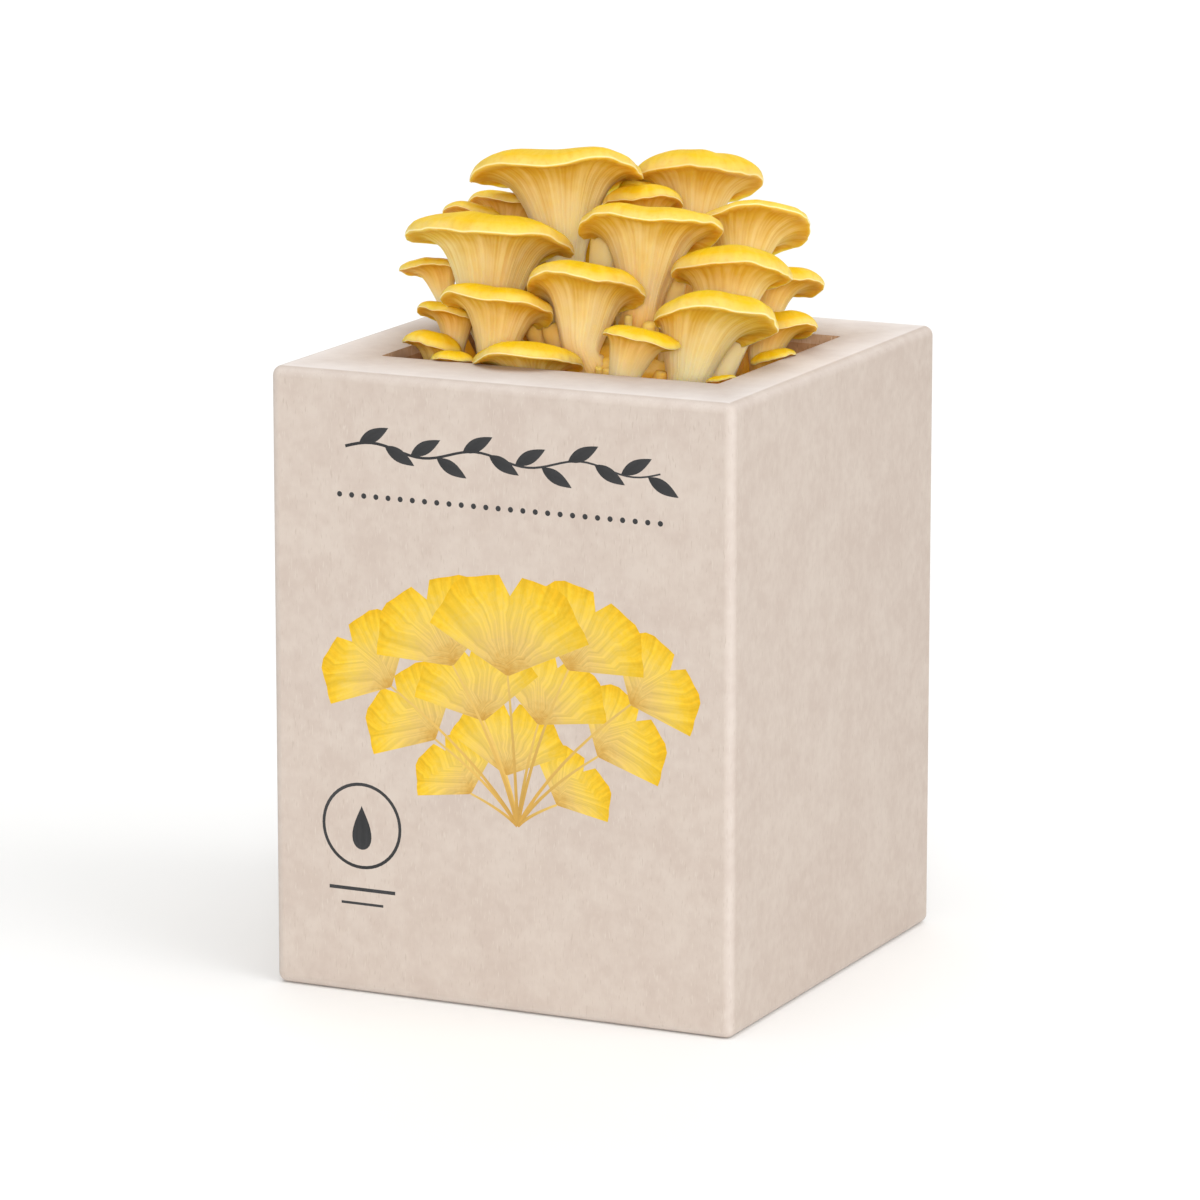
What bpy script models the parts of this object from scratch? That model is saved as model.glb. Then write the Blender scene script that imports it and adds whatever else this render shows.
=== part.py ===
"""Oyster mushroom grow kit.

A square board carton stands on the floor and is open at the top through a cut-out.
A block of substrate fills it, and one cluster of golden oyster mushrooms grows out of
the block, up through the cut-out. Every mushroom is one grown piece: stem, gills and
cap run into each other. They fork from one common base, where their feet stand.

Frame: origin at the centre of the carton's underside, +Z up, front panel facing -Y.
"""

import math
import random
from collections import namedtuple

import bmesh
import bpy
from mathutils import Matrix, Vector

MM = 0.001
UP = Vector((0, 0, 1))

# Carton, folded from one sheet of board. The cut-out's sides are measured from the
# carton's middle, and it sits a little right of it.
CARTON_SIDE = 150 * MM
CARTON_HEIGHT = 188 * MM
BOARD = 3 * MM
FOLD_RADIUS = 3 * MM
FOLD_SEGMENTS = 3
CUTOUT_LEFT = -53 * MM
CUTOUT_RIGHT = 57 * MM
CUTOUT_FRONT = -46 * MM
CUTOUT_BACK = 44 * MM

# Neighbours that touch keep this gap between their faces.
TOUCH_GAP = 0.3 * MM

# Substrate block, with its soft upper edges.
BLOCK_TOP = 152 * MM
BLOCK_PLAY = 0.6 * MM
BLOCK_EDGE = 5 * MM

# Common base of the cluster: a skirt of tissue over the block that heaps up into one
# thick mound. The mound's outline is given as radius and height, in mm.
SKIRT_HALF_WIDTH = 57 * MM
SKIRT_HALF_DEPTH = 53 * MM
SKIRT_SQUARENESS = 3.2
SKIRT_TOP = 159 * MM
SKIRT_SHOULDER = 4 * MM
MOUND = ((49, 160), (41, 163.5), (32, 168.5), (23, 173), (15, 176), (7, 177.5), (0, 178))
BASE_SIDES = 24
FOOT_GAP = 0.7 * MM

# The cluster's own axes are turned from the carton's, towards its front right corner:
# "across" runs to the right and "back" runs away from that corner.
CLUSTER_TURN = math.radians(25.4)
ACROSS = Vector((math.cos(CLUSTER_TURN), math.sin(CLUSTER_TURN), 0))
BACK = Vector((-math.sin(CLUSTER_TURN), math.cos(CLUSTER_TURN), 0))

# A mushroom's foot is (across, back) and its cap's centre (across, back, height), in mm.
# width is the cap's, side to side, and stem the stem's thickness, in mm. faces is the
# way its open side looks, in degrees to the right of towards the corner; tilt is how
# far that side is raised, and roll how far its right side drops, in degrees. dome is
# the cap's height over its margin as a share of its radius. lean is how far the neck
# stands to the right of the cap's middle, in mm.
FIELDS = "name foot cap width stem faces tilt roll dome lean"
Mushroom = namedtuple("Mushroom", FIELDS, defaults=(0,))
MUSHROOMS = (
    Mushroom("mushroom_01", (-8.8, 19.7), (-15, 23, 236.8), 51.2, 12.1, -13, 15, -4, 0.25),
    Mushroom("mushroom_02", (12.6, 23.4), (26.3, 37.9, 231.7), 38.8, 10.3, 11, 22, 4, 0.44),
    Mushroom("mushroom_03", (4.9, 12.1), (10.7, 19.8, 227.7), 24.3, 7.9, 5, 17, -0.5, 0.45),
    Mushroom("mushroom_04", (24.6, 14.5), (43.1, 25.2, 218.8), 37.4, 9.5, 29, 28.5, 11.5, 0.25, -2),
    Mushroom("mushroom_05", (6.4, -2.8), (12, -4.5, 223.5), 43.1, 11.5, 4, 19, 5, 0.28),
    Mushroom("mushroom_06", (-24.3, 10.8), (-34.9, 4.8, 219.3), 50.8, 13.3, -11, 14.5, 4, 0.28),
    Mushroom("mushroom_07", (-22, 31.2), (-31.6, 44.1, 222.9), 22.2, 7.1, -20, 22.5, -1, 0.38),
    Mushroom("mushroom_08", (-36, 14.2), (-53.3, 24.4, 206.7), 18.8, 4.9, -54, 12, -14, 0.37, 2.5),
    Mushroom("mushroom_09", (-2.3, -14.8), (-7.2, -17.9, 207.5), 36.2, 11, -5, 22.5, 3, 0.39),
    Mushroom("mushroom_10", (22.5, -8), (36.3, -14.2, 211.8), 36.4, 12.1, 11, 16.5, 6, 0.43),
    Mushroom("mushroom_11", (38.5, 4.2), (51.9, 9.7, 204.1), 25.3, 9, 31, 15.5, 7, 0.45, -5),
    Mushroom("mushroom_12", (15.6, -27.8), (31.3, -36, 200.8), 37.6, 12.1, 10, 20.5, 7.5, 0.43, -6.5),
    Mushroom("mushroom_13", (-23.7, -7.3), (-32.5, -14.6, 202.1), 33.7, 9.7, -17, 18.5, 5, 0.33),
    Mushroom("mushroom_14", (-38.8, -1.4), (-48.2, -0.8, 196.9), 17.7, 6.3, -39, 22.5, 1.5, 0.4, 3.5),
    Mushroom("mushroom_15", (5.2, -39.8), (9.5, -46.3, 197.3), 22.4, 9.7, -1, 9.5, 12.5, 0.33, -2.5),
    Mushroom("mushroom_16", (-46.9, -9.9), (-52.4, -12.1, 189.7), 18, 7.3, -38, 14, 4, 0.5, 3),
    Mushroom("mushroom_17", (-40.9, -21.8), (-46, -23.3, 187.5), 13.2, 5.5, -31, 10.5, -0.5, 0.43),
    Mushroom("mushroom_18", (-20.6, -30.6), (-23.7, -31, 188.5), 32.3, 6.8, -21, 14, -2, 0.34),
    Mushroom("mushroom_19", (47.1, -4.8), (51.1, -6.4, 193.7), 22.4, 7.9, 15, 14.5, 2.5, 0.49, -4.5),
    Mushroom("mushroom_20", (37.8, -17.8), (48.2, -18.6, 187.2), 14.7, 7.3, 66, 14, 1, 0.33),
    Mushroom("mushroom_21", (28, -38.5), (33, -48.7, 185.6), 9.5, 4.5, 25, 18, 0, 0.36),
    Mushroom("mushroom_22", (-8.5, 34.5), (-11, 40.5, 210), 28.2, 8.9, 180, 19.5, -1, 0.38),
    Mushroom("mushroom_23", (7.7, 36.8), (8, 38.4, 198.4), 19.9, 7.9, 165, 18, 3.5, 0.38),
    Mushroom("mushroom_24", (-19.5, 45), (-23, 51.5, 201), 23.5, 9, 200, 20, 0, 0.38),
    Mushroom("mushroom_25", (-0.7, 43.6), (-0.7, 44.8, 192.5), 12.9, 6.4, 178, 18, 0, 0.39),
    Mushroom("mushroom_26", (46.5, 18), (48.5, 20.4, 188.9), 15.5, 7, 116, 20, 0, 0.36),
    Mushroom("mushroom_27", (-32.9, 24.2), (-40.7, 32.3, 221.9), 18.9, 5.5, -39, 22.5, -2.5, 0.38),
)

# The skin of a mushroom, ring by ring, for a cap of radius 1. First the stem, as steps
# from foot to neck; the foot is this much thicker than the neck.
STEM_STEPS = (0.0, 0.5)
FOOT_SPREAD = 1.2
STEM_SWING = 0.38
# Then the gills: how far a ring has spread from stem to margin, and its depth under the
# margin as a share of the gills' depth.
GILL_RINGS = ((0.0, 1.0), (0.17, 0.62), (0.32, 0.33), (0.48, 0.14), (0.74, 0.02), (1.0, 0.0))
GILL_DEPTH = 0.95
STEM_INSET = 0.30
# Then over the cap: share of the margin's reach, and height as a share of the dome.
CAP_RINGS = ((0.975, 0.30), (0.79, 0.66), (0.42, 0.94))
CAP_MIDDLE = 0.96
# The margin reaches furthest on the open side and droops at the back, and it waves.
OUTER_REACH = 1.04
INNER_REACH = 0.84
REAR_DROOP = 0.10
WAVES = (2, 3, 5)
EDGE_WAVE = (0.030, 0.030, 0.016)
LIFT_WAVE = (0.025, 0.035, 0.018)
# Wide caps also fold: two humps either side of a dip in the middle of the open side.
HUMP = 0.055
HUMP_FROM = 34
HUMP_FULL = 46
# Caps at least this wide get the finer rings.
BIG_CAP = 30
BIG_SIDES = 16
SMALL_SIDES = 12


def material(name, colour, roughness):
    """A plain Principled material in one colour."""
    made = bpy.data.materials.new(name)
    made.use_nodes = True
    shader = made.node_tree.nodes["Principled BSDF"]
    shader.inputs["Base Color"].default_value = (*colour, 1)
    shader.inputs["Roughness"].default_value = roughness
    made.diffuse_color = (*colour, 1)
    return made


def add_object(name, mesh_builder, *materials):
    """A new object in the scene from a bmesh, which is freed."""
    mesh = bpy.data.meshes.new(name)
    mesh_builder.to_mesh(mesh)
    mesh_builder.free()
    for each in materials:
        mesh.materials.append(each)
    made = bpy.data.objects.new(name, mesh)
    bpy.context.scene.collection.objects.link(made)
    return made


def box_mesh(low, high):
    """A closed block between two corners."""
    builder = bmesh.new()
    size = [b - a for a, b in zip(low, high)]
    centre = [(a + b) / 2 for a, b in zip(low, high)]
    place = Matrix.Translation(centre) @ Matrix.Diagonal((*size, 1))
    bmesh.ops.create_cube(builder, size=1, matrix=place)
    return builder


def cutter(name, low, high):
    """A block that only cuts."""
    made = add_object(name, box_mesh(low, high))
    made.hide_render = True
    made.display_type = "WIRE"
    return made


def subtract(target, tool):
    cut = target.modifiers.new(f"cut {tool.name}", "BOOLEAN")
    cut.operation = "DIFFERENCE"
    cut.object = tool


def carton():
    """The board box: rounded folds outside, hollow inside, cut out at the top."""
    half = CARTON_SIDE / 2
    outside = box_mesh((-half, -half, 0), (half, half, CARTON_HEIGHT))
    bmesh.ops.bevel(
        outside,
        geom=outside.edges[:],
        offset=FOLD_RADIUS,
        segments=FOLD_SEGMENTS,
        profile=0.5,
        affect="EDGES",
    )
    board = material("board", (0.70, 0.62, 0.55), 0.85)
    made = add_object("carton", outside, board)
    inner = half - BOARD
    hollow = cutter(
        "hollow", (-inner, -inner, BOARD), (inner, inner, CARTON_HEIGHT - BOARD)
    )
    window = cutter(
        "window",
        (CUTOUT_LEFT, CUTOUT_FRONT, CARTON_HEIGHT - 2 * BOARD),
        (CUTOUT_RIGHT, CUTOUT_BACK, CARTON_HEIGHT + BOARD),
    )
    subtract(made, hollow)
    subtract(made, window)
    return made


def substrate_block():
    """The pressed block of straw and sawdust that the cluster feeds on."""
    half = CARTON_SIDE / 2 - BOARD - BLOCK_PLAY
    block = box_mesh((-half, -half, BOARD + TOUCH_GAP), (half, half, BLOCK_TOP))
    edges = [e for e in block.edges if max(v.co.z for v in e.verts) > BLOCK_TOP / 2]
    bmesh.ops.bevel(
        block, geom=edges, offset=BLOCK_EDGE, segments=2, profile=0.5, affect="EDGES"
    )
    return add_object("substrate_block", block, material("substrate", (0.17, 0.10, 0.05), 0.95))


def in_cluster(across, back, height=0.0):
    """A point of the cluster, given in mm along its own axes."""
    return (ACROSS * across + BACK * back + UP * height) * MM


def skin_from_rings(rings, pole, sole=None):
    """A closed body from rings of equal count that run anticlockwise seen from above.
    The last ring closes on the pole, the first on the sole, or flat where there is
    none. Returns the mesh and its side faces."""
    builder = bmesh.new()
    loops = [[builder.verts.new(p) for p in ring] for ring in rings]
    count = len(loops[0])
    if sole is None:
        builder.faces.new(list(reversed(loops[0])))
    else:
        heel = builder.verts.new(sole)
        for j in range(count):
            builder.faces.new((loops[0][(j + 1) % count], loops[0][j], heel))
    bands = []
    for low, high in zip(loops, loops[1:]):
        for j in range(count):
            k = (j + 1) % count
            bands.append(builder.faces.new((low[j], low[k], high[k], high[j])))
    tip = builder.verts.new(pole)
    for j in range(count):
        bands.append(builder.faces.new((loops[-1][j], loops[-1][(j + 1) % count], tip)))
    for face in bands:
        face.smooth = True
    return builder, bands


def mound_height(place):
    """Height of the mound's top at a point."""
    away = math.hypot(place.x, place.y) / MM
    for (far, low), (near, high) in zip(MOUND, MOUND[1:]):
        if away >= near:
            return (low + (high - low) * max(0, far - away) / (far - near)) * MM
    return MOUND[-1][1] * MM


def skirt_ring(turns, inset, height):
    """A ring round the skirt, between a circle and a rectangle in shape."""
    ring = []
    for turn in turns:
        cosine, sine = math.cos(turn), math.sin(turn)
        corner = abs(cosine) ** SKIRT_SQUARENESS + abs(sine) ** SKIRT_SQUARENESS
        swell = corner ** (-1 / SKIRT_SQUARENESS)
        across = (SKIRT_HALF_WIDTH - inset) * swell * cosine
        along = (SKIRT_HALF_DEPTH - inset) * swell * sine
        ring.append(Vector((across, along, height)))
    return ring


def cluster_base():
    """The knot of fused tissue under the stems: skirt, then mound."""
    turns = [math.tau * j / BASE_SIDES for j in range(BASE_SIDES)]
    rings = [
        skirt_ring(turns, 0, BLOCK_TOP + TOUCH_GAP),
        skirt_ring(turns, 0, SKIRT_TOP - SKIRT_SHOULDER / 2),
        skirt_ring(turns, SKIRT_SHOULDER, SKIRT_TOP),
    ]
    for radius, height in MOUND[:-1]:
        ring = [Vector((radius * math.cos(t), radius * math.sin(t), height)) for t in turns]
        rings.append([point * MM for point in ring])
    builder, _ = skin_from_rings(rings, UP * MOUND[-1][1] * MM)
    return add_object("cluster_base", builder, material("mycelium", (0.80, 0.68, 0.42), 0.8))


def cap_axes(row):
    """The cap's sideways, outward and upright directions."""
    turn = math.radians(row.faces)
    ahead = ACROSS * math.sin(turn) - BACK * math.cos(turn)
    side = UP.cross(ahead)
    tilt = math.radians(row.tilt)
    out = ahead * math.cos(tilt) + UP * math.sin(tilt)
    upright = out.cross(side)
    roll = Matrix.Rotation(math.radians(-row.roll), 3, out)
    return roll @ side, out, roll @ upright


def stem_point(start, start_way, end, end_way, step):
    """Place and direction on a smooth stem between two points."""
    reach = (end - start).length * STEM_SWING
    a, b, c, d = start, start + start_way * reach, end - end_way * reach, end
    rest = 1 - step
    place = a * rest**3 + b * 3 * rest**2 * step + c * 3 * rest * step**2 + d * step**3
    way = (b - a) * rest**2 + (c - b) * 2 * rest * step + (d - c) * step**2
    return place, way.normalized()


def margin_shape(row, seed):
    """A function giving the margin's reach and lift at an angle, for a cap of radius 1."""
    dice = random.Random(seed)
    phases = [(dice.uniform(0, math.tau), dice.uniform(0, math.tau)) for _ in WAVES]
    hump = HUMP * min(1, max(0, (row.width - HUMP_FROM) / (HUMP_FULL - HUMP_FROM)))

    def shape(turn):
        outward = math.sin(turn)
        reach = OUTER_REACH if outward > 0 else INNER_REACH
        reach = 1 + (reach - 1) * abs(outward) ** 1.5
        lift = -REAR_DROOP * max(0, -outward)
        for wave, (edge, rise), grow, raise_by in zip(WAVES, phases, EDGE_WAVE, LIFT_WAVE):
            reach += grow * math.cos(wave * turn + edge)
            lift += raise_by * math.cos(wave * turn + rise)
        return reach, lift - hump * math.cos(4 * turn)

    return shape


def mushroom_rings(row, seed):
    """One mushroom's rings from foot to cap, the middle of its cap, and of its foot."""
    sides = BIG_SIDES if row.width >= BIG_CAP else SMALL_SIDES
    turns = [-math.tau * j / sides for j in range(sides)]
    margin = [margin_shape(row, seed)(turn) for turn in turns]
    radius = row.width / 2 * MM
    stem = row.stem / 2 * MM
    depth = radius * GILL_DEPTH
    side, out, upright = cap_axes(row)
    spokes = [side * math.cos(turn) + out * math.sin(turn) for turn in turns]
    centre = in_cluster(*row.cap)
    lean = side * row.lean * MM
    neck = centre + lean - upright * depth - out * radius * STEM_INSET
    foot = in_cluster(*row.foot)
    foot.z = mound_height(foot) + FOOT_GAP

    rings = []
    for step in STEM_STEPS:
        place, way = stem_point(foot, UP, neck, upright, step)
        thick = stem * (FOOT_SPREAD + (1 - FOOT_SPREAD) * step)
        right = (side - way * side.dot(way)).normalized()
        ahead = right.cross(way)
        ring = [place + (right * math.cos(t) + ahead * math.sin(t)) * thick for t in turns]
        rings.append(ring)
    for point in rings[0]:
        point.z = mound_height(point) + FOOT_GAP
    for spread, below in GILL_RINGS:
        inset = lean - out * radius * STEM_INSET
        middle = centre - upright * depth * below + inset * (1 - spread)
        ring = []
        for spoke, (reach, lift) in zip(spokes, margin):
            away = stem * (1 - spread) + radius * reach * spread
            ring.append(middle + spoke * away + upright * radius * lift * spread**2)
        rings.append(ring)
    for share, height in CAP_RINGS:
        ring = []
        for spoke, (reach, lift) in zip(spokes, margin):
            rise = radius * (row.dome * height + lift * share**2)
            ring.append(centre + spoke * radius * reach * share + upright * rise)
        rings.append(ring)
    return rings, centre + upright * radius * row.dome * CAP_MIDDLE, foot


def mushroom(row, seed, flesh, cap_skin):
    """Stem, gills and cap in one skin, the cap in its own colour."""
    rings, middle, foot = mushroom_rings(row, seed)
    builder, bands = skin_from_rings(rings, middle, foot)
    under_cap = len(rings[0]) * (len(STEM_STEPS) + len(GILL_RINGS) - 1)
    for face in bands[under_cap:]:
        face.material_index = 1
    return add_object(row.name, builder, flesh, cap_skin)


def main():
    for old in list(bpy.data.objects):
        bpy.data.objects.remove(old)
    carton()
    substrate_block()
    cluster_base()
    flesh = material("gills and stem", (0.87, 0.66, 0.27), 0.6)
    cap_skin = material("cap skin", (0.93, 0.62, 0.05), 0.5)
    for seed, row in enumerate(MUSHROOMS, start=1):
        mushroom(row, seed, flesh, cap_skin)


main()
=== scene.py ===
"""Look of an oyster mushroom grow kit: a carton of recycled board, the substrate block in
it, and the cluster of golden oyster mushrooms that grows up through its cut-out.

Everything is in metres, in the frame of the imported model: origin at the centre of the
carton's underside, +Z up, front panel facing -Y.
"""

import math
import random

import bmesh
import bpy
import numpy as np
from mathutils import Matrix, Vector, noise
from mathutils.bvhtree import BVHTree
from mathutils.geometry import delaunay_2d_cdt


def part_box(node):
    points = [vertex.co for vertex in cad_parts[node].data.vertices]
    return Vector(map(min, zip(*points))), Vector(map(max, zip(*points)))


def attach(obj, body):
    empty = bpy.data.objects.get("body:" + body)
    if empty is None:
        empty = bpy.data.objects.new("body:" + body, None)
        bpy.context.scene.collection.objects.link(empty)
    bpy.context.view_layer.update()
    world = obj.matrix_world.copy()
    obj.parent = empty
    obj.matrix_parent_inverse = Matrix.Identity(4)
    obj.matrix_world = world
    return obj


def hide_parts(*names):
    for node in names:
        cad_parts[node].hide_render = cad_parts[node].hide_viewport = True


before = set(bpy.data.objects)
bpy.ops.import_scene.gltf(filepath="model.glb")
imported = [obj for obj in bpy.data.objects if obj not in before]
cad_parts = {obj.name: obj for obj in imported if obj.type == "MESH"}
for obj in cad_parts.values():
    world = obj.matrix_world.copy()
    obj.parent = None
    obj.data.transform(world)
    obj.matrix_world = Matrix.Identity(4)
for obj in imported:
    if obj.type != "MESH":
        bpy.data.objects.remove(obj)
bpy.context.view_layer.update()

MM = 0.001


# ----------------------------------------------------------
# Carton: one sheet of uncoated recycled board, die-cut, folded round four corners and
# glued. The board is soft, so its folds are round, and its cut edges show its layers.
# ----------------------------------------------------------

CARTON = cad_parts["carton"]
CARTON_LOW, CARTON_HIGH = (Vector(corner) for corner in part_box("carton"))
BOARD = 3 * MM
FOLD_RADIUS = 3 * MM
FOLD_STEPS = 6
FOLD_PALER = 0.3  # how much paler the folds are than the sides
FOLD_PALE_REACH = 0.7  # of the folds' radius, past which they are fully paler
# Painted light: the whole top face is drawn paler and cooler than the sides.
TOP_PAINTED_LIGHT = 1.4
SIDE_FOLD = CARTON_HIGH.x - FOLD_RADIUS
# The cut-out is read off the solid: its corners are the only ones inside the top face.
cut_corners = [
    v.co
    for v in CARTON.data.vertices
    if v.co.z > CARTON_HIGH.z - BOARD / 2 and max(abs(v.co.x), abs(v.co.y)) < SIDE_FOLD - BOARD
]
CUT_LEFT, CUT_RIGHT = min(c.x for c in cut_corners), max(c.x for c in cut_corners)
CUT_FRONT, CUT_BACK = min(c.y for c in cut_corners), max(c.y for c in cut_corners)
SEAM_DEPTH = 1.1 * MM  # of the glued joint down the back, and between the bottom flaps
SEAM_WIDTH = 0.7  # in mm
SEAM_FROM_CORNER = 4.5  # in mm
SEAM_END = 0.5  # in mm, from its ends to the folds
CUT_CORNER = 1.2 * MM
CUT_CORNER_STEPS = 4
FLAP_DEPTH = 19 * MM  # of the flaps of the cut-out, which are folded down inside
FLAP_LEAST = 5 * MM  # at their cut-off corners
FLAP_BEVEL = 12 * MM
FLAP_BOARD = 1.2 * MM
FLAP_STEPS = 12  # along each flap


def colour(hexed):
    """An sRGB hex value as the linear colour that shaders work in."""
    shares = [int(hexed[i : i + 2], 16) / 255 for i in (1, 3, 5)]
    linear = [s / 12.92 if s <= 0.04045 else ((s + 0.055) / 1.055) ** 2.4 for s in shares]
    return (*linear, 1)


def wire(node, inputs):
    """Link or set a shader node's inputs, which come in their order, or by name or number."""
    if not isinstance(inputs, dict):
        inputs = dict(enumerate(inputs))
    for name, value in inputs.items():
        if isinstance(value, bpy.types.NodeSocket):
            node.id_data.links.new(value, node.inputs[name])
        else:
            node.inputs[name].default_value = value


def add(tree, kind, inputs, out=0, stops=(), **settings):
    """Add one shader node with its settings and inputs, and with the stops of a colour ramp
    as (place, hex colour). Returns the one of its outputs that is wanted. A MapRange takes
    the value, its lowest and highest, and then what they become, which is 0 and 1 if not
    given. A Mix takes the share (0) of the second colour (7) in the first (6)."""
    made = tree.nodes.new("ShaderNode" + kind)
    for name, value in settings.items():
        setattr(made, name, value)
    wire(made, inputs)
    if stops:
        points = made.color_ramp.elements
        while len(points) < len(stops):
            points.new(1)
        for point, (place, hexed) in zip(points, stops):
            point.position = place
            point.color = colour(hexed)
    return made.outputs[out]


def new_material(name, roughness, ior=1.45, specular=0.3, **soft):
    """A material with its Principled shader's constants set, its node tree, and the place
    on the object, in metres, that its patterns follow. soft is the weight, radius and scale
    of the light that gets into it."""
    made = bpy.data.materials.new(name)
    made.use_nodes = True
    tree = made.node_tree
    shader = tree.nodes["Principled BSDF"]
    wire(shader, {"Roughness": roughness, "IOR": ior, "Specular IOR Level": specular})
    wire(shader, {"Subsurface " + name.title(): value for name, value in soft.items()})
    return made, tree, add(tree, "TexCoord", {}, "Object")


def finish_material(made, look, height=None, strength=0, depth=0):
    """Give a material its colour, and relief of a depth in metres where it has one."""
    tree = made.node_tree
    surface = {"Base Color": look}
    if height is not None:
        relief = {"Height": height, "Strength": strength, "Distance": depth}
        surface["Normal"] = add(tree, "Bump", relief)
    wire(tree.nodes["Principled BSDF"], surface)
    return made


def recycled_board(name, tones, fleck, roughness):
    """Uncoated recycled board: pressed from short fibres of mixed waste paper, so it is
    matt, cloudy over a few mm, and flecked with single darker and paler fibres."""
    made, tree, place = new_material(name, roughness)
    cloud_width = 14 * MM
    blotch_width = 3.5 * MM
    fibre_length = 2.6 * MM
    fibre_width = 0.45 * MM  # drawn three times as wide as real fibres, so that they show
    clouds = add(tree, "TexNoise", {"Vector": place, "Scale": 1 / cloud_width, "Detail": 3})
    blotches = add(tree, "TexNoise", {"Vector": place, "Scale": 1 / blotch_width, "Detail": 4})
    mixed = add(tree, "Math", (clouds, blotches), operation="ADD")
    halved = add(tree, "Math", (mixed, 0.5), operation="MULTIPLY")
    tone = add(tree, "ValToRGB", {"Fac": halved}, stops=tuple(zip((0.36, 0.5, 0.64), tones)))
    flecks = []
    for lean in (25, -50, 80):
        turn = [math.radians(part) for part in (lean, lean / 2, lean)]
        scale = (1 / fibre_width, 1 / fibre_width, 1 / fibre_length)
        turned = add(tree, "Mapping", {"Vector": place, "Rotation": turn, "Scale": scale})
        flecks.append(add(tree, "TexNoise", {"Vector": turned, "Scale": 1, "Detail": 0}))
    strongest = add(tree, "Math", flecks[:2], operation="MAXIMUM")
    dark = add(tree, "MapRange", (strongest, 0.72, 0.86))
    pale = add(tree, "MapRange", (flecks[2], 0.68, 0.82))
    # Paler along the folds; and painted light, which draws the whole top face paler and cooler.
    fold_and_lit_top = add(tree, "Attribute", {}, "Fac", attribute_name="fold_and_lit_top")
    uneven = add(tree, "MapRange", (clouds, 0, 1, 0.35, 0.65))
    paler_fold_and_lit_top = add(tree, "Math", (fold_and_lit_top, uneven), operation="MULTIPLY")
    for share, hexed in ((dark, fleck[0]), (pale, fleck[1]), (paler_fold_and_lit_top, "#F0EAE7")):
        tone = add(tree, "Mix", {0: share, 6: tone, 7: colour(hexed)}, 2, data_type="RGBA")
    height = add(tree, "Math", (blotches, strongest), operation="ADD")
    return finish_material(made, tone, height, 0.25, 0.10 * MM)


board_outside = recycled_board(
    "recycled board, uncoated", ("#C2B3A8", "#C6B8AD", "#CABDB2"), ("#BDAEA2", "#CBBFB4"), 0.9
)
board_inside = recycled_board(
    "unbleached board liner", ("#A87C58", "#B68A64", "#C49A74"), ("#946A48", "#CFA880"), 0.95
)
board_edge = recycled_board(
    "cut edge of the board", ("#C09C7C", "#C9A687", "#D2B296"), ("#B08A68", "#DCC3AA"), 0.95
)


def printed_ink(name, shades, veins):
    """Offset ink on uncoated board: it soaks in, so it is matt and lets the board's mottle
    through, and it runs from one shade to the next along each printed shape."""
    made, tree, place = new_material(name, 0.85)
    drawn = add(tree, "UVMap", {}, uv_map="print")
    along = add(tree, "SeparateXYZ", {"Vector": drawn}, "Y")
    mottle_width = 1.4 * MM
    mottle = add(tree, "TexNoise", {"Vector": place, "Scale": 1 / mottle_width, "Detail": 3})
    wobble = add(tree, "Math", (mottle, -0.5), operation="ADD")
    spread = add(tree, "Math", (wobble, 0.35, along), operation="MULTIPLY_ADD")
    fill = add(tree, "ValToRGB", {"Fac": spread}, stops=shades)
    rays = add(tree, "Mapping", {"Vector": drawn, "Scale": (veins, 0.6, 1)})
    lines = add(tree, "TexNoise", {"Vector": rays, "Scale": 1, "Detail": 2})
    faint = add(tree, "MapRange", (lines, 0.35, 0.65, 0.80))
    layers = {0: 1.0, 6: fill, 7: faint}
    veined = add(tree, "Mix", layers, 2, data_type="RGBA", blend_type="MULTIPLY")
    return finish_material(made, veined)


yellow_ink = printed_ink(
    "offset ink, yellow",
    ((0.0, "#C99A45"), (0.3, "#DDBB6C"), (0.62, "#E8C658"), (0.85, "#EBC132"), (1.0, "#E5B41C")),
    14,
)
stalk_ink = printed_ink("offset ink, buff", ((0.0, "#C79A4A"), (1.0, "#E2BE6A")), 3)
dark_ink = printed_ink("offset ink, charcoal", ((0.0, "#353536"), (1.0, "#414142")), 2)
BOARD_OUT, BOARD_IN, BOARD_CUT, INK_YELLOW, INK_STALK, INK_DARK = range(6)

# The front panel's print, in mm from the panel's middle (across) and from the underside
# (up). A garland of leaves stands over a row of dots, a spray of fan leaves takes up the
# middle, and a ring with a water drop stands over two short rules at the lower left.
GARLAND = {"left": -50, "right": 52, "height": 166, "wave": 1.6, "stem": 0.8}
LEAVES = {"count": 12, "length": 11.0, "width": 4.2, "lean": 62, "off": 0.53}
DOTS = {"left": -52, "right": 52, "height": 151.5, "count": 27, "radius": 0.85}
RING = {"across": -45.5, "height": 51.5, "outer": 13.2, "inner": 12.2, "drop": 5.4}
RULES = ((-45.5, 32.0, 22.0, 1.1), (-45.5, 27.6, 14.0, 0.8))
SPRAY_FOOT = (6, 57)
# Each fan leaf: middle of its rim (across, up), size, and its lean from upright in degrees.
FANS = (
    (4, 133, 31, 2), (-26, 128, 27, -24), (34, 129, 26, 26), (-52, 111, 23, -46),
    (59, 112, 22, 48), (-11, 112, 25, -14), (21, 111, 24, 20), (-37, 97, 23, -44),
    (48, 96, 22, 46), (4, 95, 23, 4), (-20, 81, 19, -34), (30, 79, 18, 38),
)
FAN_OPEN = math.radians(64)
FAN_STEPS = 18
STALK_WIDTH = 1.0
PRINT_STEPS = 48  # along the garland and round the ring
DROP_STEPS = 28
UP = Vector((0, 1))


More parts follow.
